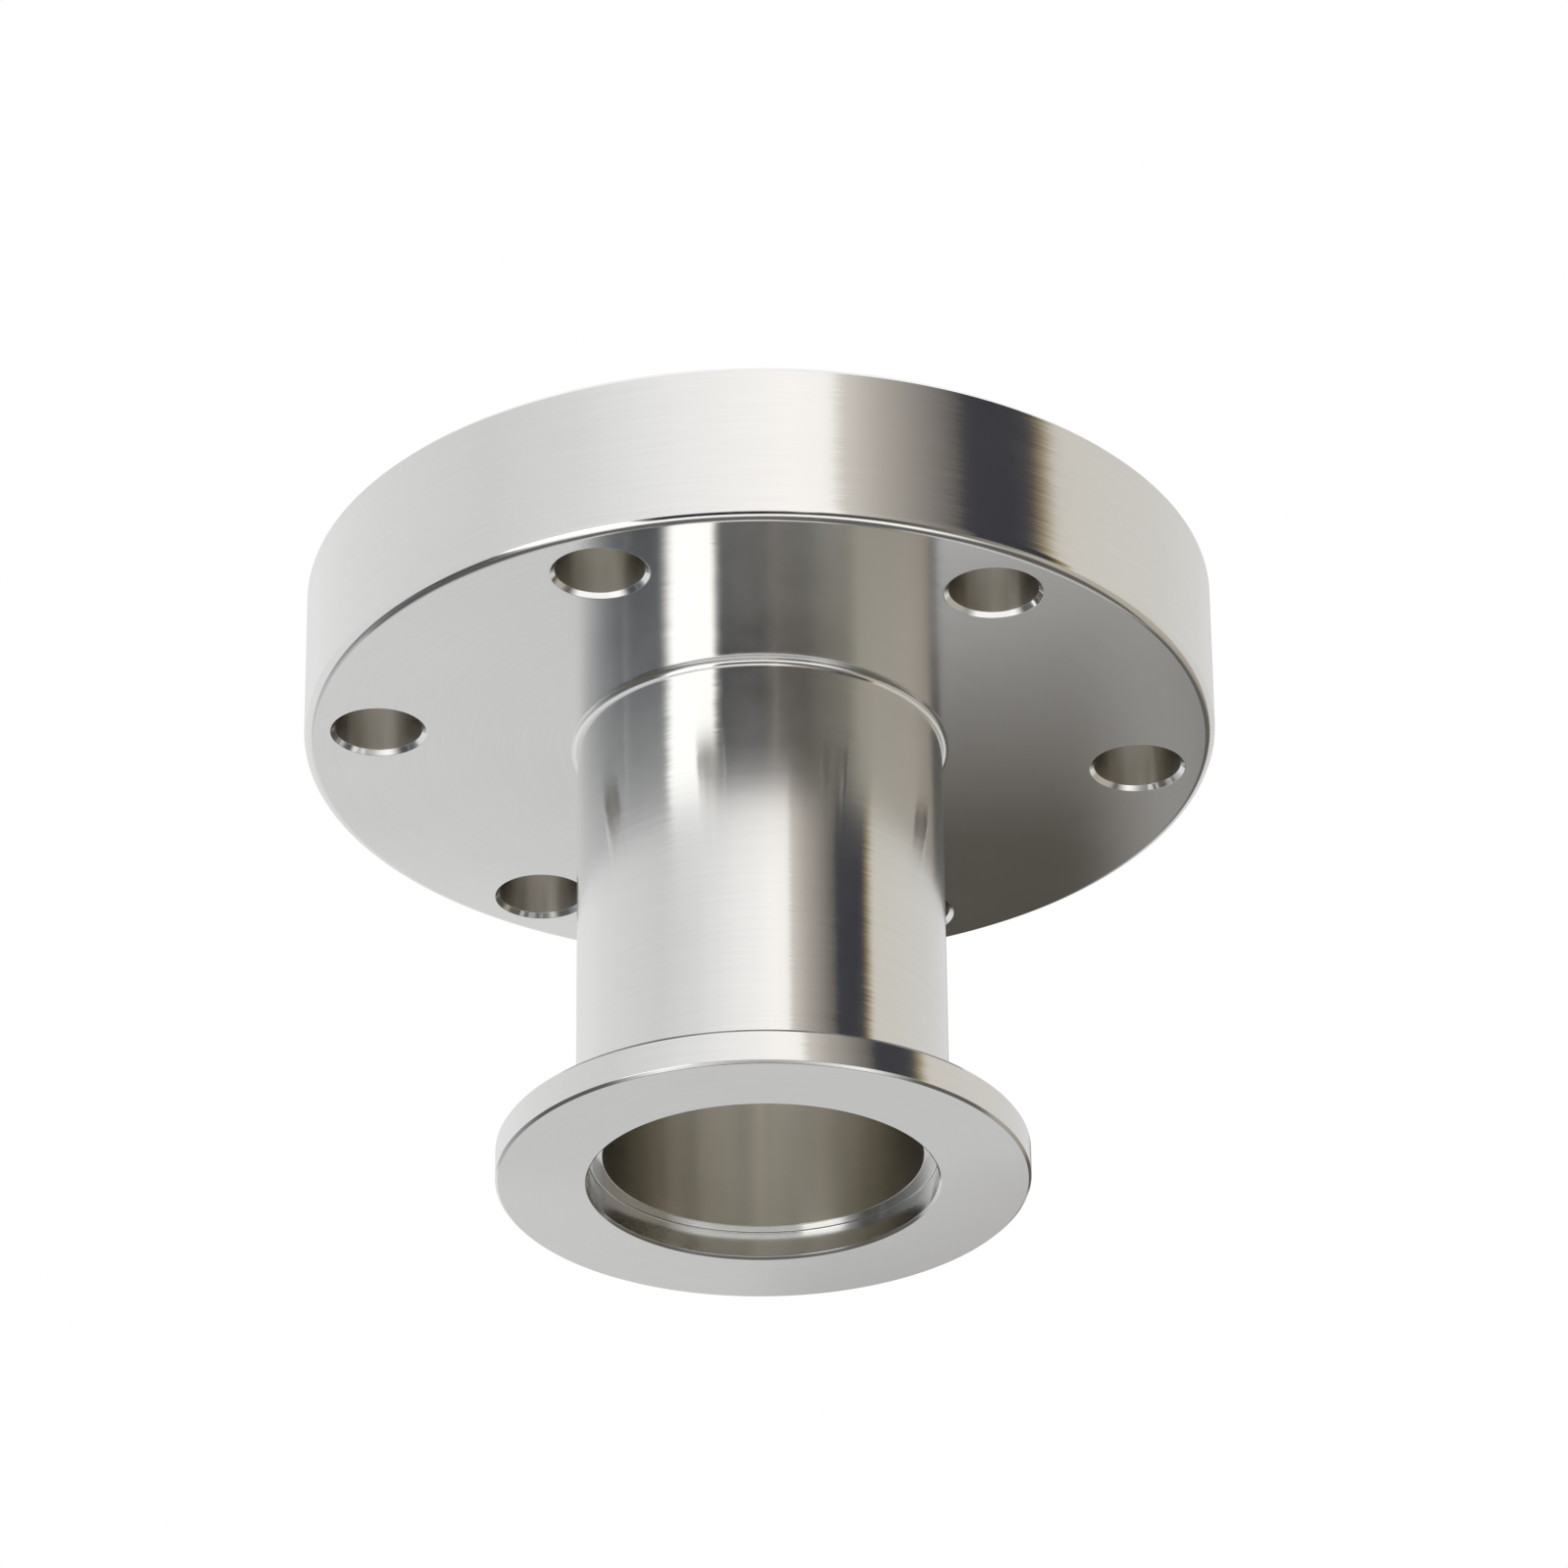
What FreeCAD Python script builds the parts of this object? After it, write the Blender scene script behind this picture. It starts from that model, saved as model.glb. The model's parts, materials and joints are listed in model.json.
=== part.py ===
import FreeCAD, Part
import math
import os

# Straight vacuum adapter, turned, bored and drilled from one bar of stainless
# steel: a six-bolt flange with a knife edge, a plain tube, and a clamp flange.
# Lengths are in millimetres and angles in degrees. The origin is the centre of
# the clamp flange's face, and +Z runs up the bore to the knife edge.

# Tube and bore
overall_length = 50.0
bore_diameter = 24.0
tube_wall = 2.0
tube_root_fillet = 0.6

# Bolted flange, with its holes on a circle of 58.7
bolt_flange_diameter = 70.0
bolt_flange_thickness = 13.0
tube_side_edge_fillet = 0.8
seal_side_edge_chamfer = 0.5
bolt_hole_count = 6
bolt_hole_diameter = 6.7
bolt_hole_to_rim = 5.65
bolt_hole_chamfer = 0.35

# Gasket recess of 48.3 across and knife edge of 41.9 across
recess_to_bolt_hole = 1.85
recess_mouth_chamfer = 0.2
recess_wall_to_knife = 3.2
knife_tip_depth = 0.7
knife_tip_width = 0.06
knife_slope = 20.0
knife_inner_height = 0.9
bore_mouth_chamfer = 0.3

# Clamp flange of 40 across, with a recess of 26.2 for the centring ring
clamp_lip = 6.0
clamp_rim_width = 2.7
clamp_back_slope = 15.0
clamp_edge_chamfer = 0.2
clamp_root_fillet = 0.8
centring_step = 1.1
centring_recess_depth = 2.2
centring_mouth_chamfer = 0.2

bore_radius = bore_diameter / 2
tube_radius = bore_radius + tube_wall
centring_radius = bore_radius + centring_step
clamp_flange_radius = tube_radius + clamp_lip
bolt_flange_radius = bolt_flange_diameter / 2
bolt_flange_back = overall_length - bolt_flange_thickness
bolt_hole_radius = bolt_hole_diameter / 2
bolt_circle_radius = bolt_flange_radius - bolt_hole_to_rim
recess_radius = bolt_circle_radius - bolt_hole_radius - recess_to_bolt_hole
knife_radius = recess_radius - recess_wall_to_knife

axis = FreeCAD.Vector(0, 0, 1)
centre = FreeCAD.Vector(0, 0, 0)


def rise(run, slope):
    """Height that a sloping face gains over a run."""
    return run * math.tan(math.radians(slope))


def corner(radius, height, fillet=0.0, chamfer=0.0):
    """One corner of a half section, sharp, rounded or chamfered."""
    return FreeCAD.Vector(radius, 0, height), fillet, chamfer


def corner_edges(before, here, after, fillet, chamfer):
    """Where a corner's treatment starts and ends, and the edges between."""
    back = (before - here).normalize()
    onward = (after - here).normalize()
    half_angle = back.getAngle(onward) / 2
    leg = fillet / math.tan(half_angle) + chamfer
    start = here + back * leg
    end = here + onward * leg
    if fillet:
        middle_reach = fillet / math.sin(half_angle) - fillet
        middle = here + (back + onward).normalize() * middle_reach
        return start, end, [Part.Arc(start, middle, end).toShape()]
    if chamfer:
        return start, end, [Part.LineSegment(start, end).toShape()]
    return start, end, []


def turned(corners):
    """Solid of revolution about the bore's axis of a closed half section."""
    edges = []
    treated = []
    for number, (here, fillet, chamfer) in enumerate(corners):
        before = corners[number - 1][0]
        after = corners[(number + 1) % len(corners)][0]
        treated.append(corner_edges(before, here, after, fillet, chamfer))
    for number, (start, end, own_edges) in enumerate(treated):
        edges += own_edges
        next_start = treated[(number + 1) % len(treated)][0]
        edges.append(Part.LineSegment(end, next_start).toShape())
    return Part.Face(Part.Wire(edges)).revolve(centre, axis, 360)


def clamp_flange_outside():
    """Flat face, rim and sloping back that the clamp's wedge pulls on."""
    back_height = clamp_rim_width + rise(clamp_lip, clamp_back_slope)
    return [
        corner(clamp_flange_radius, 0, chamfer=clamp_edge_chamfer),
        corner(clamp_flange_radius, clamp_rim_width, chamfer=clamp_edge_chamfer),
        corner(tube_radius, back_height, fillet=clamp_root_fillet),
    ]


def bolt_flange_outside():
    """Tube root, back face and rim of the bolted flange, up to its seal face."""
    return [
        corner(tube_radius, bolt_flange_back, fillet=tube_root_fillet),
        corner(bolt_flange_radius, bolt_flange_back, fillet=tube_side_edge_fillet),
        corner(bolt_flange_radius, overall_length, chamfer=seal_side_edge_chamfer),
    ]


def knife_edge():
    """Gasket recess, its knife edge with an upright inner flank, and the floor inside."""
    tip_height = overall_length - knife_tip_depth
    tip_outside = knife_radius + knife_tip_width / 2
    tip_inside = knife_radius - knife_tip_width / 2
    recess_floor = tip_height - rise(recess_radius - tip_outside, knife_slope)
    inner_floor = tip_height - knife_inner_height
    return [
        corner(recess_radius, overall_length, chamfer=recess_mouth_chamfer),
        corner(recess_radius, recess_floor),
        corner(tip_outside, tip_height),
        corner(tip_inside, tip_height),
        corner(tip_inside, inner_floor),
        corner(bore_radius, inner_floor, chamfer=bore_mouth_chamfer),
    ]


def centring_recess():
    """Bore's lower end and the recess that the centring ring drops into."""
    return [
        corner(bore_radius, centring_recess_depth),
        corner(centring_radius, centring_recess_depth),
        corner(centring_radius, 0, chamfer=centring_mouth_chamfer),
    ]


def bolt_hole():
    """Cutter for one bolt hole, chamfered at both faces, on the bore's axis."""
    past_face = bolt_hole_chamfer
    mouth_radius = bolt_hole_radius + bolt_hole_chamfer
    return turned([
        corner(0, bolt_flange_back - past_face),
        corner(mouth_radius, bolt_flange_back - past_face),
        corner(mouth_radius, bolt_flange_back),
        corner(bolt_hole_radius, bolt_flange_back + bolt_hole_chamfer),
        corner(bolt_hole_radius, overall_length - bolt_hole_chamfer),
        corner(mouth_radius, overall_length),
        corner(mouth_radius, overall_length + past_face),
        corner(0, overall_length + past_face),
    ])


def bolt_holes():
    """The hole cutters, evenly round the bolt circle, with the first on +X."""
    cutter = bolt_hole()
    cutter.translate(FreeCAD.Vector(bolt_circle_radius, 0, 0))
    cutters = []
    for number in range(bolt_hole_count):
        copy = cutter.copy()
        copy.rotate(centre, axis, number * 360 / bolt_hole_count)
        cutters.append(copy)
    return cutters


def adapter_flange():
    """The whole adapter, turned as one piece and then drilled."""
    section = clamp_flange_outside() + bolt_flange_outside() + knife_edge() + centring_recess()
    return turned(section).cut(bolt_holes())


os.makedirs("parts", exist_ok=True)
adapter_flange().exportStep("parts/adapter_flange.step")
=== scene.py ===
import json
import math
import bmesh
import bpy
import numpy as np
from mathutils import Matrix, Vector


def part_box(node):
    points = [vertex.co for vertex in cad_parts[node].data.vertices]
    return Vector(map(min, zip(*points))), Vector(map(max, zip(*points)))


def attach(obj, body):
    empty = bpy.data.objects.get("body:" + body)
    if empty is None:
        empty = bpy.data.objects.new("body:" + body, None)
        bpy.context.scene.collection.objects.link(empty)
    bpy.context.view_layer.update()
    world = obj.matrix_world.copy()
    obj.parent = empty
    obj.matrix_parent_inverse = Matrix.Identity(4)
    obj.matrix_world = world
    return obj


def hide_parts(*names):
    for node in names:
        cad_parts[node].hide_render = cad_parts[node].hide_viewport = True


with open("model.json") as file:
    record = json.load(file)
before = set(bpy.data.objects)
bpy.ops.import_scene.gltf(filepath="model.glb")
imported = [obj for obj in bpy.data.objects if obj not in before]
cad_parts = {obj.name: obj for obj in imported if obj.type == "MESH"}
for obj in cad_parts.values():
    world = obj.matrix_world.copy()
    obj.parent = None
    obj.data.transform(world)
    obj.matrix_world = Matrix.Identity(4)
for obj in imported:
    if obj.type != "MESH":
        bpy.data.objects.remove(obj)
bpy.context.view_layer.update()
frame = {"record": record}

mm = 0.001

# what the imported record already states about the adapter, in mm
mounts = {mount["name"]: mount for mount in frame["record"]["mounts"]}
nodeLow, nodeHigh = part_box("adapter_flange")
stated = {
    "length": (nodeHigh[2] - nodeLow[2]) / mm,
    "boltFlangeRadius": round((nodeHigh[0] - nodeLow[0]) / mm, 1) / 2,
    "boreRadius": mounts["bore"]["dims"]["r_mm"],
    "clampFlangeRadius": mounts["clamp_rim"]["dims"]["r_mm"],
    "centringRadius": mounts["centring_recess"]["dims"]["r_mm"],
    "boltCircleRadius": mounts["bolt_circle"]["dims"]["pcd_mm"] / 2,
    "boltHoleRadius": mounts["bolt_circle"]["dims"]["hole_r_mm"],
    "boltHoleCount": mounts["bolt_circle"]["dims"]["count"],
    "gasketRecessRadius": mounts["gasket_recess"]["dims"]["r_mm"],
}
print("sizes read from the record")


def hexToLinear(code):
    # sRGB to linear: the low end is a straight line, the rest a power of 2.4
    levels = [int(code[i:i + 2], 16) / 255 for i in (1, 3, 5)]
    linear = [c / 12.92 if c <= 0.04045 else ((c + 0.055) / 1.055) ** 2.4 for c in levels]
    return (*linear, 1.0)


def addNode(tree, kind, inputs=None, links=None, **settings):
    # one node, with its settings, its input values and the sockets that feed it
    node = tree.nodes.new(kind)
    for name, value in settings.items():
        setattr(node, name, value)
    for name, value in (inputs or {}).items():
        node.inputs[name].default_value = value
    for name, socket in (links or {}).items():
        tree.links.new(socket, node.inputs[name])
    return node


firstColour, secondColour, mixedColour = 6, 7, 2        # a Mix node's colour sockets


# the turned adapter, lengths in mm and angles in degrees
turned = {
    "boltFlangeThickness": 13.0,
    "tubeWall": 2.0,
    "tubeRootFillet": 0.6,
    "backEdgeFillet": 0.8,      # rounded edge between the flange's rim and its back
    "sealEdgeChamfer": 0.5,
    "gasketMouthChamfer": 0.2,
    "gasketWallToKnife": 3.2,
    "knifeTipDepth": 0.7,
    "knifeTipWidth": 0.06,
    "knifeSlope": 20.0,
    "knifeInnerHeight": 0.9,
    "boreMouthChamfer": 0.3,
    "clampRimWidth": 2.7,
    "clampBackSlope": 15.0,
    "clampEdgeChamfer": 0.2,
    "clampRootFillet": 0.8,
    "centringDepth": 2.2,
    "centringMouthChamfer": 0.2,
    "boltHoleChamfer": 0.35,
    "innerCorner": 0.1,         # radius that the tool's nose leaves in an inner corner
    "knifeTipRounding": 0.02,
    "brokenEdge": 0.07,         # radius that polishing leaves on a sharp corner
    "stepsRound": 288,          # around the bore, a multiple of the hole count
    "stepsAcrossBand": 10,      # from a bolt hole's mouth out to its part of the face
    "stepsPerSide": 8,          # along each side of that part
    "closingPower": 1.6,        # over 1, the steps across the band shorten towards the mouth
    "longestStep": 4.0,         # between two points of a straight run
    "fineTurn": 24.0,           # turn per step of a small rounding, and of one over largeRounding
    "largeTurn": 9.0,
    "largeRounding": 0.3,
    "fewestSteps": 3,           # along any rounding
    "bandInner": 25.1,          # ring of face that the bolt holes are drilled through
    "bandOuter": 34.1,
    "mapRadius": 20.0,          # radius on which the UV map counts an angle as mm
    "weldDistance": 0.002,
}
outside, faced, bored, drilled, sealing = range(5)      # material slots


def roundedOutline(corners, startLength=0.0):
    # Half section through corners (radius, height, rounding, finish after it).
    # Each rounding is an arc whose centre lies on the corner's bisector, at
    # rounding / sin(half angle). Normals point to the right of the travel.
    points, normals, finishes = [], [], []

    def rightOf(step):
        return np.array([step[1], -step[0]])

    last = len(corners) - 1
    for number, (radius, height, rounding, finish) in enumerate(corners):
        here = np.array([radius, height])
        if number == 0 or number == last:
            other = np.array(corners[1][:2] if number == 0 else corners[last - 1][:2])
            step = (other - here) if number == 0 else (here - other)
            arc = here[None]
            facing = rightOf(step / np.linalg.norm(step))[None]
        else:
            back = np.array(corners[number - 1][:2]) - here
            onward = np.array(corners[number + 1][:2]) - here
            back, onward = back / np.linalg.norm(back), onward / np.linalg.norm(onward)
            half = math.acos(np.clip(back @ onward, -1, 1)) / 2
            bisector = (back + onward) / np.linalg.norm(back + onward)
            centre = here + bisector * rounding / math.sin(half)
            start, end = rightOf(-back), rightOf(onward)
            side = 1.0 if bisector @ start < 0 else -1.0    # outer corner, or inner
            turn = math.atan2(start[0] * end[1] - start[1] * end[0], start @ end)
            large = rounding > turned["largeRounding"]
            turnPerStep = math.radians(turned["largeTurn" if large else "fineTurn"])
            count = max(turned["fewestSteps"], int(math.ceil(abs(turn) / turnPerStep)))
            angles = math.atan2(start[1], start[0]) + np.linspace(0, turn, count + 1)
            facing = np.stack([np.cos(angles), np.sin(angles)], 1)
            arc = centre + side * rounding * facing
        if points:
            gap = arc[0] - points[-1][-1]
            pieces = max(1, int(math.ceil(np.linalg.norm(gap) / turned["longestStep"])))
            share = np.arange(1, pieces)[:, None] / pieces
            points.append(points[-1][-1] + gap * share)
            normals.append(np.repeat(facing[:1], pieces - 1, axis=0))
            finishes += [corners[number - 1][3]] * pieces
        points.append(arc)
        normals.append(facing)
        finishes += [corners[number - 1][3] if number else finish] * (len(arc) - 1)
    points, normals = np.concatenate(points), np.concatenate(normals)
    steps = np.linalg.norm(np.diff(points, axis=0), axis=1)
    lengths = startLength + np.concatenate([[0], np.cumsum(steps)])
    return points, normals, lengths, np.array(finishes)


def gridFaces(rows, columns, closed):
    # quads of a grid: first edge along the columns, second along the rows
    row, column = np.meshgrid(np.arange(rows - 1), np.arange(columns if closed else columns - 1),
                              indexing="ij")
    onward = (column + 1) % columns
    return np.stack([row * columns + column, row * columns + onward,
                     (row + 1) * columns + onward, (row + 1) * columns + column], -1).reshape(-1, 4)


def sweepRound(outline, angles, centre=(0.0, 0.0), inward=False):
    # The outline carried once round an axis: x = centre + radius cos(angle),
    # y = centre + radius sin(angle), z = height. UV is the angle, as mm on the
    # map's radius, and the length along the outline in mm.
    points, normals, lengths, finishes = outline
    cosine, sine = np.cos(angles), np.sin(angles)
    positions = np.stack([centre[0] + points[:, :1] * cosine, centre[1] + points[:, :1] * sine,
                          np.repeat(points[:, 1:], len(angles), 1)], -1)
    facing = np.stack([normals[:, :1] * cosine, normals[:, :1] * sine,
                       np.repeat(normals[:, 1:], len(angles), 1)], -1)
    faces = gridFaces(len(points), len(angles), True)
    mapRadius = stated["boltHoleRadius"] if inward else turned["mapRadius"]
    around = np.append(angles, angles[0] + 2 * math.pi) * mapRadius
    row, column = np.meshgrid(np.arange(len(points) - 1), np.arange(len(angles)), indexing="ij")
    u = np.stack([around[column], around[column + 1], around[column + 1], around[column]], -1)
    v = np.stack([lengths[row], lengths[row], lengths[row + 1], lengths[row + 1]], -1)
    uv = np.stack([u, v], -1).reshape(-1, 4, 2)
    if inward:
        faces, uv = faces[:, ::-1], uv[:, ::-1]
    return (positions.reshape(-1, 3), facing.reshape(-1, 3), faces, uv,
            np.repeat(finishes, len(angles)))


def holeLoop():
    # The edge of one hole's share of the face, counter-clockwise: outer arc,
    # side, inner arc, side, as (radius, angle) with the hole at angle zero.
    half = math.pi / stated["boltHoleCount"]
    steps = turned["stepsRound"] // stated["boltHoleCount"]
    outer, inner, sides = turned["bandOuter"], turned["bandInner"], turned["stepsPerSide"]
    across = np.linspace(-half, half, steps + 1)
    down = np.linspace(outer, inner, sides + 1)
    radius = np.concatenate([np.full(steps, outer), down[:-1],
                             np.full(steps, inner), down[:0:-1]])
    angle = np.concatenate([across[:-1], np.full(sides, half),
                            across[:0:-1], np.full(sides, -half)])
    # where on the hole's mouth each of these points leads: halfway between the
    # straight way and an even spacing, which keeps the order
    centre = stated["boltCircleRadius"]
    straight = np.unwrap(np.arctan2(radius * np.sin(angle), radius * np.cos(angle) - centre))
    even = straight[0] + np.arange(len(radius)) * 2 * math.pi / len(radius)
    return radius, angle, 0.5 * straight + 0.5 * even


def drilledBand(height, upward, mouthRadius, lengthOf):
    # Flat face round each hole: straight lines from the edge of its share to the
    # mouth's circle, with steps that shorten towards the mouth.
    radius, angle, mouthAngle = holeLoop()
    centre = stated["boltCircleRadius"]
    edge = np.stack([radius * np.cos(angle), radius * np.sin(angle)], -1)
    mouth = np.stack([centre + mouthRadius * np.cos(mouthAngle),
                      mouthRadius * np.sin(mouthAngle)], -1)
    share = 1 - (1 - np.linspace(0, 1, turned["stepsAcrossBand"] + 1)) ** turned["closingPower"]
    flat = edge + (mouth - edge) * share[:, None, None]
    rows, columns = flat.shape[:2]
    faces = gridFaces(rows, columns, True)
    parts = []
    for number in range(stated["boltHoleCount"]):
        turn = number * 2 * math.pi / stated["boltHoleCount"]
        x = flat[..., 0] * math.cos(turn) - flat[..., 1] * math.sin(turn)
        y = flat[..., 0] * math.sin(turn) + flat[..., 1] * math.cos(turn)
        positions = np.stack([x, y, np.full_like(x, height)], -1).reshape(-1, 3)
        facing = np.tile([0.0, 0.0, 1.0 if upward else -1.0], (rows * columns, 1))
        around = (np.arctan2(flat[..., 1], flat[..., 0]).reshape(-1) + turn) * turned["mapRadius"]
        along = lengthOf(np.hypot(flat[..., 0], flat[..., 1]).reshape(-1))
        uv = np.stack([around, along], -1)[faces]
        order = slice(None) if upward else slice(None, None, -1)
        parts.append((positions, facing, faces[:, order], uv[:, order],
                      np.full(len(faces), sealing if upward else faced)))
    return parts


def drilledHoles(backHeight, sealHeight):
    # Chamfer, wall and chamfer of each bolt hole, swept round the hole's own axis.
    # The outline runs upwards, so its normals are turned to face the axis.
    wall, cut = stated["boltHoleRadius"], turned["boltHoleChamfer"]
    broken = turned["brokenEdge"]
    mouth = wall + cut + 2 * broken     # just past the rounding
    corners = [(mouth, sealHeight, 0, faced), (wall + cut, sealHeight, broken, faced),
               (wall, sealHeight - cut, broken, drilled), (wall, backHeight + cut, broken, faced),
               (wall + cut, backHeight, broken, faced), (mouth, backHeight, 0, faced)]
    points, normals, lengths, finishes = roundedOutline(corners)
    outline = (points[::-1], normals[::-1], lengths[-1] - lengths[::-1], finishes[::-1])
    angles, reach = holeLoop()[2], stated["boltCircleRadius"]
    parts = []
    for number in range(stated["boltHoleCount"]):
        turn = number * 2 * math.pi / stated["boltHoleCount"]
        centre = (reach * math.cos(turn), reach * math.sin(turn))
        parts.append(sweepRound(outline, angles + turn, centre, inward=True))
    return mouth, parts


def turnedAdapter():
    # the half section inside the drilled ring and the one outside it, both swept
    # round the bore, with the drilled ring's two faces and the holes between them
    length, broken, nose = stated["length"], turned["brokenEdge"], turned["innerCorner"]
    tipRounding = turned["knifeTipRounding"]
    tube = stated["boreRadius"] + turned["tubeWall"]
    rim, clamp, bore = stated["boltFlangeRadius"], stated["clampFlangeRadius"], stated["boreRadius"]
    back = length - turned["boltFlangeThickness"]
    bandIn, bandOut = turned["bandInner"], turned["bandOuter"]
    backSlope = math.radians(turned["clampBackSlope"])
    clampCut, clampTop = turned["clampEdgeChamfer"], turned["clampRimWidth"]
    recess, recessCut = stated["gasketRecessRadius"], turned["gasketMouthChamfer"]
    tipTop = length - turned["knifeTipDepth"]
    tipOut = recess - turned["gasketWallToKnife"] + turned["knifeTipWidth"] / 2
    tipIn = tipOut - turned["knifeTipWidth"]
    recessFloor = tipTop - (recess - tipOut) * math.tan(math.radians(turned["knifeSlope"]))
    innerFloor = tipTop - turned["knifeInnerHeight"]
    centring, centringDepth = stated["centringRadius"], turned["centringDepth"]
    centringCut, boreCut = turned["centringMouthChamfer"], turned["boreMouthChamfer"]
    sealCut = turned["sealEdgeChamfer"]
    # a note names the surface that starts at its corner
    inside = roundedOutline([
        (bandIn, length, 0, sealing),                   # seal face
        (recess + recessCut, length, broken, faced),
        (recess, length - recessCut, broken, faced),    # wall round the gasket
        (recess, recessFloor, nose, faced),             # slope up to the knife edge
        (tipOut, tipTop, tipRounding, faced),
        (tipIn, tipTop, tipRounding, faced),            # its upright flank
        (tipIn, innerFloor, nose, sealing),             # floor inside it
        (bore + boreCut, innerFloor, broken, faced),
        (bore, innerFloor - boreCut, broken, bored),
        (bore, centringDepth, broken, faced),           # step over the centring ring
        (centring, centringDepth, nose, outside),       # wall round the centring ring
        (centring, centringCut, broken, faced),
        (centring + centringCut, 0, broken, faced),     # clamp face
        (clamp - clampCut, 0, broken, faced),
        (clamp, clampCut, broken, outside),             # clamp rim
        (clamp, clampTop - clampCut, broken, outside),
        (clamp - clampCut * math.cos(backSlope), clampTop + clampCut * math.sin(backSlope), broken,
         faced),
        (tube, clampTop + (clamp - tube) * math.tan(backSlope), turned["clampRootFillet"], outside),
        (tube, back, turned["tubeRootFillet"], faced),  # back of the bolted flange
        (bandIn, back, 0, faced),
    ])

    def backLength(radius):
        return inside[2][-1] + radius - bandIn

    rimOutline = roundedOutline([
        (bandOut, back, 0, faced),
        (rim, back, turned["backEdgeFillet"], outside),
        (rim, length - sealCut, broken, faced),
        (rim - sealCut, length, broken, sealing),
        (bandOut, length, 0, sealing),
    ], startLength=float(backLength(bandOut)))

    def sealLength(radius):
        return rimOutline[2][-1] + bandOut - radius

    angles = np.arange(turned["stepsRound"]) * 2 * math.pi / turned["stepsRound"]
    mouth, holes = drilledHoles(back, length)
    parts = [sweepRound(inside, angles), sweepRound(rimOutline, angles)] + holes
    parts += drilledBand(back, False, mouth, backLength)
    parts += drilledBand(length, True, mouth, sealLength)
    return parts


def joinedPiece(name, parts):
    # all the swept surfaces in one mesh, joined where their edges meet, with the
    # worked-out normals so that flats stay flat beside small roundings
    offsets = np.cumsum([0] + [len(part[0]) for part in parts[:-1]])
    positions = np.concatenate([part[0] for part in parts]) * mm
    facing = np.concatenate([part[1] for part in parts])
    faces = np.concatenate([part[2] + offset for part, offset in zip(parts, offsets)])
    uv = np.concatenate([part[3] for part in parts])
    finishes = np.concatenate([part[4] for part in parts])
    mesh = bpy.data.meshes.new(name)
    mesh.vertices.add(len(positions))
    mesh.vertices.foreach_set("co", positions.astype(np.float32).ravel())
    mesh.loops.add(faces.size)
    mesh.loops.foreach_set("vertex_index", faces.astype(np.int32).ravel())
    mesh.polygons.add(len(faces))
    mesh.polygons.foreach_set("loop_start", np.arange(0, faces.size, 4, dtype=np.int32))
    mesh.polygons.foreach_set("material_index", finishes.astype(np.int32))
    mesh.update(calc_edges=True)
    layer = mesh.uv_layers.new(name="TurningMap")
    layer.data.foreach_set("uv", uv.astype(np.float32).ravel())
    store = mesh.attributes.new("facing", "FLOAT_VECTOR", "POINT")
    store.data.foreach_set("vector", facing.astype(np.float32).ravel())
    work = bmesh.new()
    work.from_mesh(mesh)
    bmesh.ops.remove_doubles(work, verts=work.verts, dist=turned["weldDistance"] * mm)
    openEdges = sum(1 for edge in work.edges if len(edge.link_faces) != 2)
    volume = work.calc_volume(signed=True)
    work.to_mesh(mesh)
    work.free()
    kept = np.empty(len(mesh.vertices) * 3, dtype=np.float32)
    mesh.attributes["facing"].data.foreach_get("vector", kept)
    mesh.shade_smooth()
    mesh.normals_split_custom_set_from_vertices(kept.reshape(-1, 3))
    mesh.attributes.remove(mesh.attributes["facing"])
    piece = bpy.data.objects.new(name, mesh)
    bpy.context.scene.collection.objects.link(piece)
    print(name, "quads", len(faces), "open edges", openEdges,
          "volume cm3", round(volume / (10 * mm) ** 3, 3))
    return piece


adapter = joinedPiece("turned_adapter", turnedAdapter())


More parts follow.
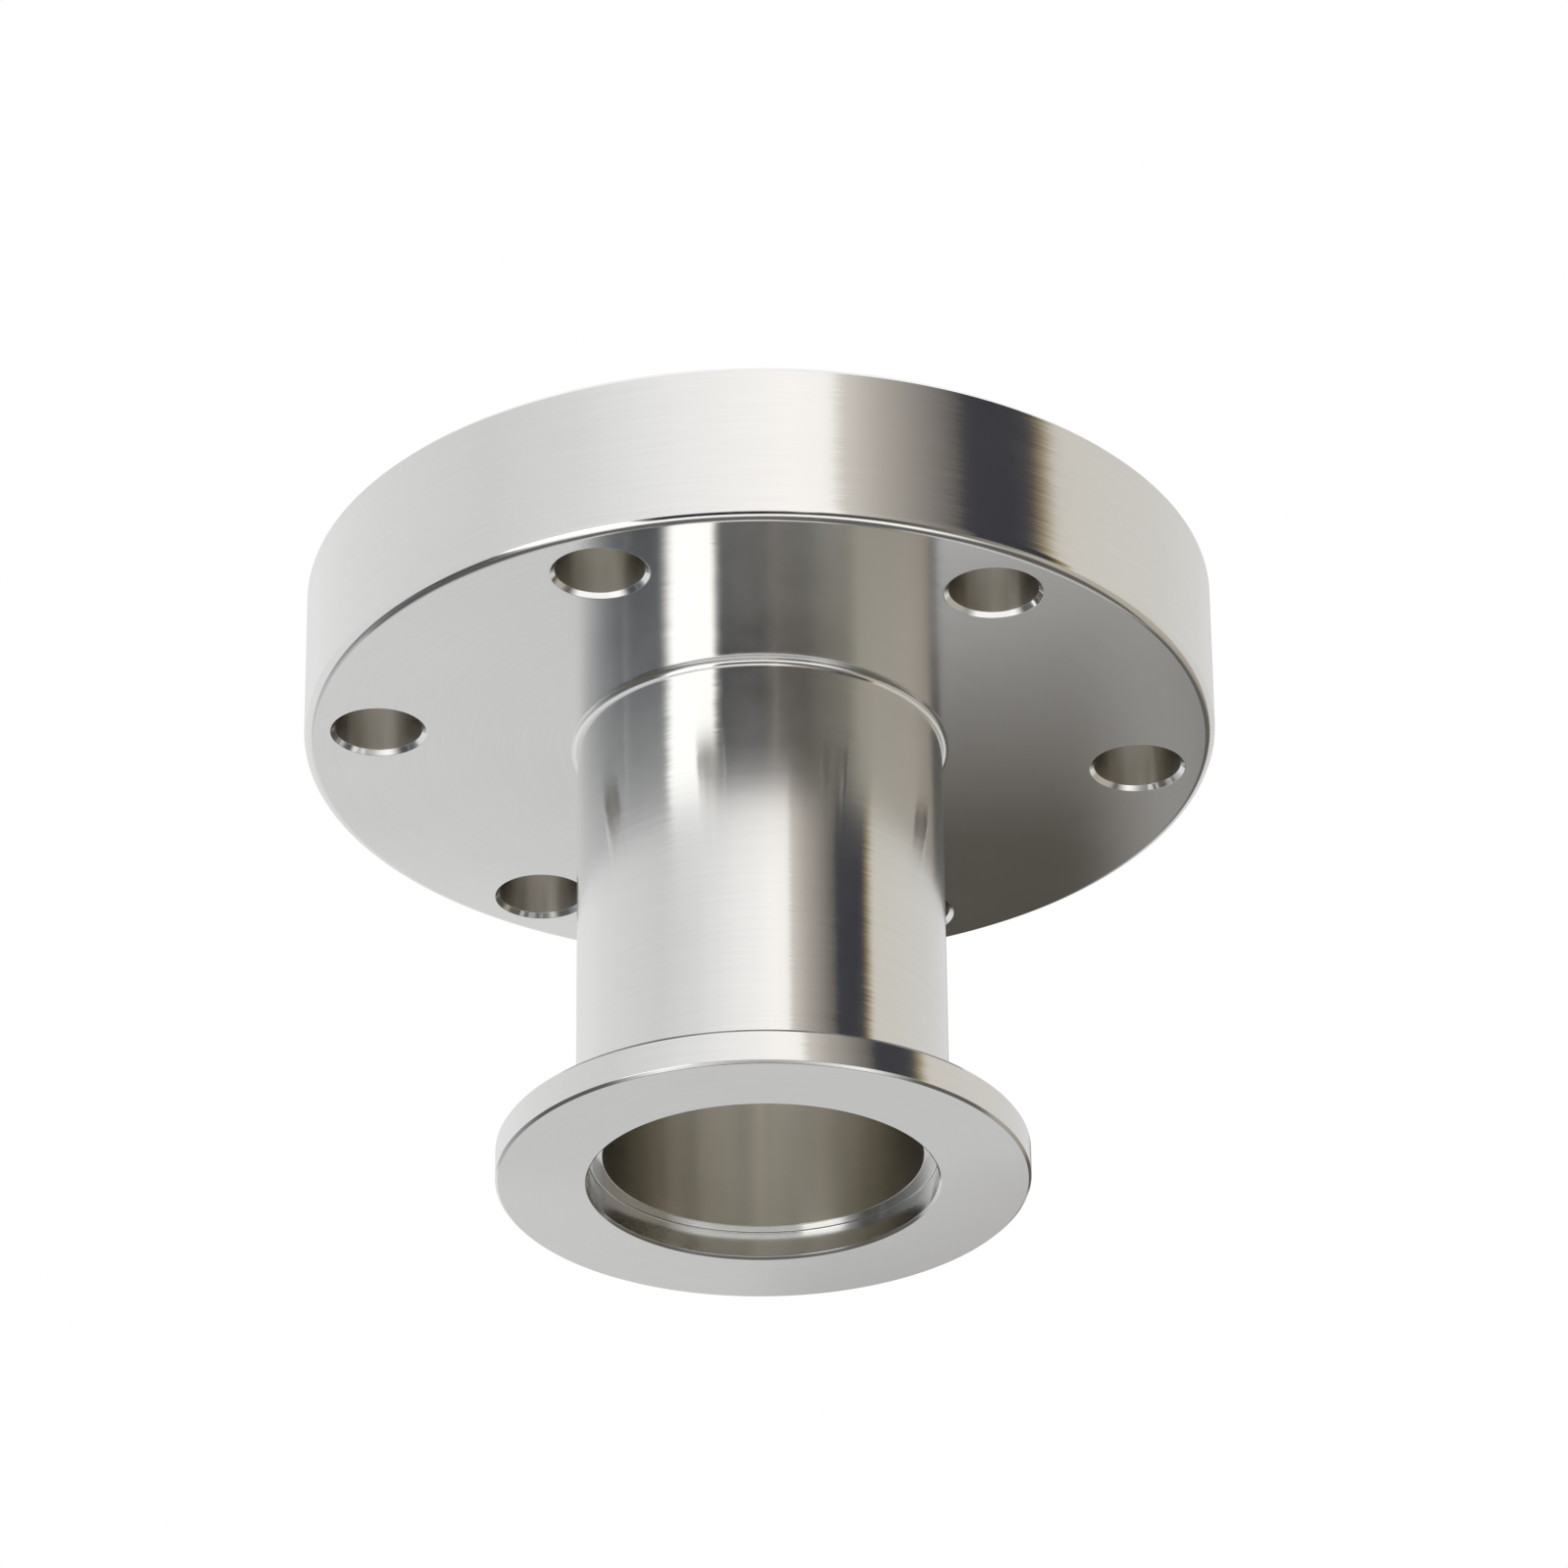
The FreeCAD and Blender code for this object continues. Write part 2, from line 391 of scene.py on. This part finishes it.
def stainlessSteel(name, finish):
    # bare 304 stainless steel off the lathe: a mirror along the marks, drawn out across them
    material = bpy.data.materials.new(name)
    material.use_nodes = True
    tree = material.node_tree
    tree.nodes.clear()
    place = addNode(tree, "ShaderNodeTexCoord")
    tangent = addNode(tree, "ShaderNodeTangent", direction_type="UV_MAP", uv_map="TurningMap")
    turning = addNode(tree, "ShaderNodeSeparateXYZ", links={0: place.outputs["UV"]})
    # streaks of the polishing cloth: long round the bore, fine across it, so slow in
    # the object's X and Y and quick in the length along the outline
    spot = addNode(tree, "ShaderNodeSeparateXYZ", links={0: place.outputs["Object"]})

    def streaks(long, fine, detail):
        around = [addNode(tree, "ShaderNodeMath", operation="MULTIPLY", inputs={1: 1 / (long * mm)},
                          links={0: spot.outputs[axis]}).outputs[0] for axis in ("X", "Y")]
        across = addNode(tree, "ShaderNodeMath", operation="MULTIPLY", inputs={1: 1 / fine},
                         links={0: turning.outputs["Y"]}).outputs[0]
        joined = addNode(tree, "ShaderNodeCombineXYZ",
                         links={0: around[0], 1: around[1], 2: across})
        return addNode(tree, "ShaderNodeTexNoise", noise_dimensions="3D",
                       inputs={"Scale": 1.0, "Detail": detail, "Roughness": finish["grain"]},
                       links={"Vector": joined.outputs[0]})

    marks = streaks(finish["markLength"], finish["markSpacing"], finish["markDetail"])
    wander = streaks(finish["wanderLength"], finish["wanderSpacing"], finish["wanderDetail"])
    clouding = addNode(tree, "ShaderNodeTexNoise", noise_dimensions="3D",
                       inputs={"Scale": 1 / (finish["cloudSize"] * mm),
                               "Detail": finish["cloudDetail"], "Roughness": finish["grain"]},
                       links={"Vector": place.outputs["Object"]})
    height = addNode(tree, "ShaderNodeMath", operation="MULTIPLY_ADD",
                     inputs={1: finish["wanderShare"]},
                     links={0: wander.outputs[0], 2: marks.outputs[0]})
    bump = addNode(tree, "ShaderNodeBump",
                   inputs={"Strength": 1.0, "Distance": finish["markDepth"] * mm},
                   links={"Height": height.outputs[0]})
    # the colour follows the mean of the clouds and the marks
    tone = addNode(tree, "ShaderNodeMath", operation="ADD",
                   links={0: clouding.outputs[0], 1: marks.outputs[0]})
    share = addNode(tree, "ShaderNodeMath", operation="MULTIPLY", inputs={1: 0.5},
                    links={0: tone.outputs[0]})
    colour = addNode(tree, "ShaderNodeMix", data_type="RGBA", links={"Factor": share.outputs[0]})
    colour.inputs[firstColour].default_value = hexToLinear(finish["colourLow"])
    colour.inputs[secondColour].default_value = hexToLinear(finish["colourHigh"])
    cloudLow, cloudHigh = finish["cloudRange"]
    rough = addNode(tree, "ShaderNodeMapRange",
                    inputs={"From Min": cloudLow, "From Max": cloudHigh,
                            "To Min": finish["roughness"] - finish["roughnessSpread"],
                            "To Max": finish["roughness"] + finish["roughnessSpread"]},
                    links={"Value": clouding.outputs[0]})
    # each mark leans a little its own way round the bore, which frets upright edges
    # in the reflections
    markLow, markHigh = finish["markRange"]
    lean = addNode(tree, "ShaderNodeMapRange", links={"Value": marks.outputs[0]},
                   inputs={"From Min": markLow, "From Max": markHigh,
                           "To Min": -finish["markLean"], "To Max": finish["markLean"]})
    aside = addNode(tree, "ShaderNodeVectorMath", operation="SCALE",
                    links={0: tangent.outputs[0], "Scale": lean.outputs[0]})
    leaning = addNode(tree, "ShaderNodeVectorMath", operation="ADD",
                      links={0: bump.outputs[0], 1: aside.outputs[0]})
    facing = addNode(tree, "ShaderNodeVectorMath", operation="NORMALIZE",
                     links={0: leaning.outputs[0]})
    # a quarter turn, so that the blur runs across the marks
    metal = addNode(tree, "ShaderNodeBsdfPrincipled",
                    inputs={"Metallic": 1.0, "Anisotropic": finish["anisotropy"],
                            "Anisotropic Rotation": 0.25},
                    links={"Base Color": colour.outputs[mixedColour], "Roughness": rough.outputs[0],
                           "Normal": facing.outputs[0], "Tangent": tangent.outputs[0]})
    addNode(tree, "ShaderNodeOutputMaterial", links={"Surface": metal.outputs[0]})
    return material


# fine turned and polished: bright, with faint streaks round the piece; lengths in mm
turnedFinish = {
    "colourLow": "#E0E0DF", "colourHigh": "#ECECEB",
    "roughness": 0.135, "roughnessSpread": 0.012, "anisotropy": 1.0,
    "markSpacing": 0.22,        # real marks are under 0.1 mm apart, drawn coarser so that they show
    "markLength": 7.0, "markDepth": 0.0012,
    "markLean": 0.014,          # how far a mark leans, as a slope
    "wanderSpacing": 1.5, "wanderLength": 14.0, "wanderShare": 3.0,
    "cloudSize": 9.0, "grain": 0.6,
    "markDetail": 2.0, "wanderDetail": 1.0, "cloudDetail": 3.0,
    "cloudRange": (0.3, 0.7), "markRange": (0.2, 0.8),     # what the noise mostly spans
}
# a facing cut leaves flatter marks, so the flanges' faces are the clearest mirrors
facedFinish = dict(turnedFinish, roughness=0.1, markLean=0.005, markSpacing=0.3, markDepth=0.0010)
# the seal face is machined and never polished, a satin that blurs what it mirrors
sealingFinish = dict(facedFinish, roughness=0.25, markDepth=0.0020)
# the bore keeps a bar's coarser marks, and its colour is painted darker and warmer, as
# shade from the light that crosses it several times
boredFinishAndShade = dict(turnedFinish, colourLow="#DBD8D1", colourHigh="#DFDCD5", roughness=0.21,
                   markSpacing=0.8, markDepth=0.0030, markLean=0.006)
# drilled walls are the roughest, an even warm grey painted darker than the bore, as shade in the
# holes
drilledFinishAndShade = dict(boredFinishAndShade, colourLow="#CCC8C0", colourHigh="#D0CCC4", roughness=0.29)

adapter.data.materials.append(stainlessSteel("turnedStainlessSteel", turnedFinish))
adapter.data.materials.append(stainlessSteel("facedStainlessSteel", facedFinish))
adapter.data.materials.append(stainlessSteel("boredStainlessSteel", boredFinishAndShade))
adapter.data.materials.append(stainlessSteel("drilledStainlessSteel", drilledFinishAndShade))
adapter.data.materials.append(stainlessSteel("sealFaceStainlessSteel", sealingFinish))
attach(adapter, "root")
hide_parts("adapter_flange")
print("finishes on")


# the photograph's camera, which looks up at the clamp flange, in mm and degrees
cameraPlace = {
    "azimuth": -96.705, "elevation": -28.962, "distance": 580.797,  # seen from the aim
    "aim": (1.374, -4.007, 31.901), "roll": -0.5737,
    "lens": 175.151, "sensor": 36.0,
}


def placeCamera(place):
    azimuth, elevation = math.radians(place["azimuth"]), math.radians(place["elevation"])
    outward = Vector((math.cos(azimuth) * math.cos(elevation),
                      math.sin(azimuth) * math.cos(elevation), math.sin(elevation)))
    data = bpy.data.cameras.new("camera")
    data.lens, data.sensor_width, data.sensor_fit = place["lens"], place["sensor"], "HORIZONTAL"
    camera = bpy.data.objects.new("camera", data)
    level = (-outward).to_track_quat("-Z", "Y").to_matrix()
    turn = level @ Matrix.Rotation(math.radians(place["roll"]), 3, "Z")
    spot = (Vector(place["aim"]) + outward * place["distance"]) * mm
    camera.matrix_world = Matrix.Translation(spot) @ turn.to_4x4()
    bpy.context.scene.collection.objects.link(camera)
    bpy.context.scene.camera = camera


placeCamera(cameraPlace)
print("camera placed")

# the studio: paper, a lamp, and the tent and card that the metal mirrors, in mm
studio = {
    "towardsCamera": -96.5,     # degrees, where azimuth 0 of the rings below points
    "strength": 1.28,
    "overhead": "#E8E8E8",
    "floorColour": "#F0F0EF", "floorReach": 600.0, "floorDrop": 0.5,
    "floorFade": (0.3, 0.95),   # shares of the reach between which the paper fades out
    "lampPower": 3.2, "lampSize": 500.0, "lampPlace": (-350.0, -450.0, 750.0),
    "lightBounces": 16, "mirrorBounces": 12,        # light crosses a deep hole several times
}

# a round tent with a shallow cone above and below; the strips of each ring run by
# azimuth from the camera, positive to its right, and a third figure makes a strip
# brighter than white
tentPlan = {
    "radius": 110.0, "low": -100.0, "high": 130.0, "coneRise": 40.0, "coneHole": 0.5, "steps": 96,
    "upperRing": [
        (-180, "#CFCFCF"), (-130, "#D8D8D8"), (-60, "#C9C9C9"), (-38, "#D2D2D2"),
        (-16, "#E7E6E5"), (7, "#F6F3F0"), (15, "#F3EFEB"), (18, "#C8C2BB"), (26, "#A6A099"),
        (43, "#5E5A56"), (45, "#3A3A3F"), (62, "#34353B"), (63, "#5A4C38"), (66, "#9A8A68"),
        (68, "#C6C2BA"), (160, "#CCCCCC"), (165, "#85817A"), (173, "#85817A"), (180, "#CFCFCF"),
    ],
    "levelRing": [
        (-180, "#BEBEBE"), (-153, "#CACACA"), (-108, "#74787B"), (-90, "#474C51"),
        (-88, "#A6A8AA"), (-87, "#474C51"), (-62, "#464A50"), (-57, "#C8C7C4"),
        (-54, "#FFFFFF", 1.38), (-28, "#FFFDF9", 1.38), (-25, "#8A8886"), (-22, "#060C14"),
        (2, "#160A08"), (8, "#383028"), (28, "#4A4640"), (54, "#827E75"), (64, "#A8A499"),
        (106, "#AAA399"), (129, "#968E84"), (136, "#5A5854"), (155, "#5A5854"),
        (161, "#A8A6A3"), (180, "#BEBEBE"),
    ],
    "lowRing": [
        (-180, "#BEBEBE"), (-155, "#BEBEBE"), (-130, "#5A5752"), (-75, "#5A5752"),
        (-50, "#F8F7F5"), (50, "#F8F7F5"), (75, "#5A5752"), (130, "#5A5752"),
        (155, "#BEBEBE"), (180, "#BEBEBE"),
    ],
    "underneath": "#5E5C5A",
    "underneathTo": (0.35, 0.2),    # shares of the cone's rise, below the wall
    "overheadFrom": 0.4,            # share of the cone's rise, above the wall
    "lowTo": (-58.0, -49.0),        # heights over which the low ring passes into the level one
    "levelTop": [                   # height at which the level ring ends, by azimuth
        (-60, -11.0), (-57, 4.0), (-28, 4.0), (-25, 8.0), (5, 8.0), (10, 2.0), (13, 10.0),
        (170, 10.0), (180, -11.0),
    ],
    "levelTopSpan": 100.0,          # what a full level of that ring's ramp stands for
    "levelFade": 5.0,
}

# a dark card behind the adapter and to its right; across and up in mm
cardPlan = {
    "behind": 60.0, "across": (-4.0, 40.0), "up": (-45.0, 40.0), "colour": "#4E4A44",
    "thinBelow": -26.0, "solidAbove": 12.0, "solidWithin": (6.0, 26.0),
}


def ringRamp(tree, stops, position):
    # colours or plain levels by azimuth, straight from one stop to the next
    ramp = addNode(tree, "ShaderNodeValToRGB", links={0: position})
    elements = ramp.color_ramp.elements
    while len(elements) < len(stops):
        elements.new(1.0)
    for element, stop in zip(elements, stops):
        element.position = (stop[0] + 180) / 360
    for element, stop in zip(elements, stops):
        gain = stop[2] if len(stop) > 2 else 1.0
        levels = hexToLinear(stop[1])[:3] if isinstance(stop[1], str) else [stop[1]] * 3
        element.color = [gain * level for level in levels] + [1.0]
    return ramp.outputs[0]


def cameraAxes():
    azimuth = math.radians(studio["towardsCamera"])
    return (Vector((math.cos(azimuth), math.sin(azimuth), 0)),
            Vector((-math.sin(azimuth), math.cos(azimuth), 0)))


def meshPiece(name, corners, faces, materialName):
    # a mesh with a bare material, and that material's empty node tree
    mesh = bpy.data.meshes.new(name)
    mesh.from_pydata(corners, [], faces)
    piece = bpy.data.objects.new(name, mesh)
    bpy.context.scene.collection.objects.link(piece)
    material = bpy.data.materials.new(materialName)
    material.use_nodes = True
    material.node_tree.nodes.clear()
    mesh.materials.append(material)
    return piece, material.node_tree


def onlyInMetal(thing):
    # stage piece that is seen in the metal's reflections and nowhere else
    for ray in ("visible_camera", "visible_diffuse", "visible_transmission", "visible_shadow"):
        setattr(thing, ray, False)
    thing.data.materials[0].cycles.emission_sampling = "NONE"


def buildRoom():
    # plain even light for the paper, and white behind the adapter
    world = bpy.data.worlds.new("room")
    bpy.context.scene.world = world
    world.use_nodes = True
    tree = world.node_tree
    tree.nodes.clear()
    lit = addNode(tree, "ShaderNodeBackground",
                  inputs={"Color": hexToLinear(studio["overhead"]), "Strength": studio["strength"]})
    plain = addNode(tree, "ShaderNodeBackground", inputs={"Color": (1, 1, 1, 1), "Strength": 1.0})
    path = addNode(tree, "ShaderNodeLightPath")
    bent = addNode(tree, "ShaderNodeMath", operation="MAXIMUM",
                   links={0: path.outputs["Is Glossy Ray"], 1: path.outputs["Is Transmission Ray"]})
    seen = addNode(tree, "ShaderNodeMath", operation="MAXIMUM",
                   links={0: path.outputs["Is Camera Ray"], 1: bent.outputs[0]})
    mix = addNode(tree, "ShaderNodeMixShader",
                  links={0: seen.outputs[0], 1: lit.outputs[0], 2: plain.outputs[0]})
    addNode(tree, "ShaderNodeOutputWorld", links={"Surface": mix.outputs[0]})


def layFloor():
    # pale paper under the clamp flange; it fades out with distance, and can't be
    # seen from below, where the camera stands
    reach, drop = studio["floorReach"] * mm, studio["floorDrop"] * mm
    corners = [(-reach, -reach, -drop), (reach, -reach, -drop),
               (reach, reach, -drop), (-reach, reach, -drop)]
    floor, tree = meshPiece("paper_floor", corners, [(0, 1, 2, 3)], "paleMattPaper")
    near, far = (reach * share for share in studio["floorFade"])
    place = addNode(tree, "ShaderNodeTexCoord")
    distance = addNode(tree, "ShaderNodeVectorMath", operation="LENGTH",
                       links={0: place.outputs["Object"]})
    fade = addNode(tree, "ShaderNodeMapRange", interpolation_type="SMOOTHSTEP",
                   inputs={"From Min": near, "From Max": far},
                   links={"Value": distance.outputs["Value"]})
    below = addNode(tree, "ShaderNodeNewGeometry")
    clear = addNode(tree, "ShaderNodeMath", operation="MAXIMUM",
                    links={0: fade.outputs[0], 1: below.outputs["Backfacing"]})
    paper = addNode(tree, "ShaderNodeBsdfDiffuse",
                    inputs={"Color": hexToLinear(studio["floorColour"])})
    nothing = addNode(tree, "ShaderNodeBsdfTransparent")
    mix = addNode(tree, "ShaderNodeMixShader",
                  links={0: clear.outputs[0], 1: paper.outputs[0], 2: nothing.outputs[0]})
    addNode(tree, "ShaderNodeOutputMaterial", links={"Surface": mix.outputs[0]})
    floor.visible_glossy = False
    floor.visible_shadow = False


def pitchTent(plan):
    # The tent's outline carried once round: x = radius cos(angle), y = radius
    # sin(angle), z = height. Three rings of strips lie over one another, one above,
    # one level with the adapter's foot and one below, all in the tent's coordinates.
    low, high, rise = plan["low"], plan["high"], plan["coneRise"]
    outline = np.array([(plan["coneHole"], low - rise), (plan["radius"], low),
                        (plan["radius"], high), (plan["coneHole"], high + rise)])
    angles = np.arange(plan["steps"]) * 2 * math.pi / plan["steps"]
    corners = np.stack([outline[:, :1] * np.cos(angles), outline[:, :1] * np.sin(angles),
                        np.repeat(outline[:, 1:], len(angles), 1)], -1).reshape(-1, 3) * mm
    faces = gridFaces(len(outline), len(angles), True)
    tent, tree = meshPiece("light_tent", corners.tolist(), faces.tolist(), "whiteTentCloth")
    towards, right = cameraAxes()
    spot = addNode(tree, "ShaderNodeTexCoord").outputs["Object"]
    ahead = addNode(tree, "ShaderNodeVectorMath", operation="DOT_PRODUCT",
                    inputs={1: towards}, links={0: spot})
    aside = addNode(tree, "ShaderNodeVectorMath", operation="DOT_PRODUCT",
                    inputs={1: right}, links={0: spot})
    height = addNode(tree, "ShaderNodeSeparateXYZ", links={0: spot}).outputs["Z"]
    angle = addNode(tree, "ShaderNodeMath", operation="ARCTAN2",
                    links={0: aside.outputs["Value"], 1: ahead.outputs["Value"]})
    # -180 to 180 degrees become 0 to 1 along the ramps
    position = addNode(tree, "ShaderNodeMath", operation="MULTIPLY_ADD",
                       inputs={1: 1 / (2 * math.pi), 2: 0.5},
                       links={0: angle.outputs[0]}).outputs[0]
    upperRing = ringRamp(tree, plan["upperRing"], position)
    levelRing = ringRamp(tree, plan["levelRing"], position)
    lowRing = ringRamp(tree, plan["lowRing"], position)
    # height over the level ring's lowest top, less what that top rises at this azimuth
    lowestTop, span = min(stop[1] for stop in plan["levelTop"]), plan["levelTopSpan"]
    shares = [(azimuth, (top - lowestTop) / span) for azimuth, top in plan["levelTop"]]
    sunk = addNode(tree, "ShaderNodeMath", operation="MULTIPLY_ADD", inputs={1: -span * mm},
                   links={0: ringRamp(tree, shares, position), 2: height}).outputs[0]

    def blend(first, second, over, measure=height):
        share = addNode(tree, "ShaderNodeMapRange", interpolation_type="SMOOTHSTEP",
                        inputs={"From Min": over[0] * mm, "From Max": over[1] * mm},
                        links={"Value": measure})
        mix = addNode(tree, "ShaderNodeMix", data_type="RGBA", links={"Factor": share.outputs[0]})
        for number, value in ((firstColour, first), (secondColour, second)):
            if isinstance(value, str):
                mix.inputs[number].default_value = hexToLinear(value)
            else:
                tree.links.new(value, mix.inputs[number])
        return mix.outputs[mixedColour]

    colour = blend(plan["underneath"], lowRing,
                   [low - share * rise for share in plan["underneathTo"]])
    colour = blend(colour, levelRing, plan["lowTo"])
    colour = blend(colour, upperRing, (lowestTop, lowestTop + plan["levelFade"]), sunk)
    colour = blend(colour, studio["overhead"], (high, high + plan["overheadFrom"] * rise))
    glow = addNode(tree, "ShaderNodeEmission", inputs={"Strength": studio["strength"]},
                   links={"Color": colour})
    addNode(tree, "ShaderNodeOutputMaterial", links={"Surface": glow.outputs[0]})
    onlyInMetal(tent)


def standCard(plan):
    # seen only in the metal; it thins out downwards and at both sides
    towards, right = cameraAxes()
    near, far = (value * mm for value in plan["across"])
    low, high = (value * mm for value in plan["up"])
    corners = [right * across - towards * plan["behind"] * mm + Vector((0, 0, height))
               for across, height in ((near, low), (far, low), (far, high), (near, high))]
    card, tree = meshPiece("dark_card", corners, [(0, 1, 2, 3)], "darkMattCard")
    place = addNode(tree, "ShaderNodeTexCoord").outputs["Object"]
    height = addNode(tree, "ShaderNodeSeparateXYZ", links={0: place}).outputs["Z"]
    across = addNode(tree, "ShaderNodeVectorMath", operation="DOT_PRODUCT",
                     inputs={1: right}, links={0: place})
    solid = addNode(tree, "ShaderNodeMapRange", links={"Value": height},
                    inputs={"From Min": plan["thinBelow"] * mm,
                            "From Max": plan["solidAbove"] * mm})
    for side, within in zip((near, far), plan["solidWithin"]):
        sideways = addNode(tree, "ShaderNodeMapRange", interpolation_type="SMOOTHSTEP",
                           links={"Value": across.outputs["Value"]},
                           inputs={"From Min": side, "From Max": within * mm})
        solid = addNode(tree, "ShaderNodeMath", operation="MULTIPLY",
                        links={0: solid.outputs[0], 1: sideways.outputs[0]})
    dark = addNode(tree, "ShaderNodeEmission",
                   inputs={"Color": hexToLinear(plan["colour"]), "Strength": studio["strength"]})
    nothing = addNode(tree, "ShaderNodeBsdfTransparent")
    mix = addNode(tree, "ShaderNodeMixShader",
                  links={0: solid.outputs[0], 1: nothing.outputs[0], 2: dark.outputs[0]})
    addNode(tree, "ShaderNodeOutputMaterial", links={"Surface": mix.outputs[0]})
    onlyInMetal(card)


def hangLamp():
    # one soft box overhead, for the shadow on the paper
    data = bpy.data.lights.new("soft_box", "AREA")
    data.energy, data.size = studio["lampPower"], studio["lampSize"] * mm
    lamp = bpy.data.objects.new("soft_box", data)
    lamp.location = [value * mm for value in studio["lampPlace"]]
    lamp.rotation_euler = (-lamp.location).to_track_quat("-Z", "Y").to_euler()
    lamp.visible_glossy = False
    bpy.context.scene.collection.objects.link(lamp)


buildRoom()
layFloor()
pitchTent(tentPlan)
standCard(cardPlan)
hangLamp()
bpy.context.scene.view_settings.view_transform = "Standard"
bpy.context.scene.cycles.max_bounces = studio["lightBounces"]
bpy.context.scene.cycles.glossy_bounces = studio["mirrorBounces"]
print("studio set")
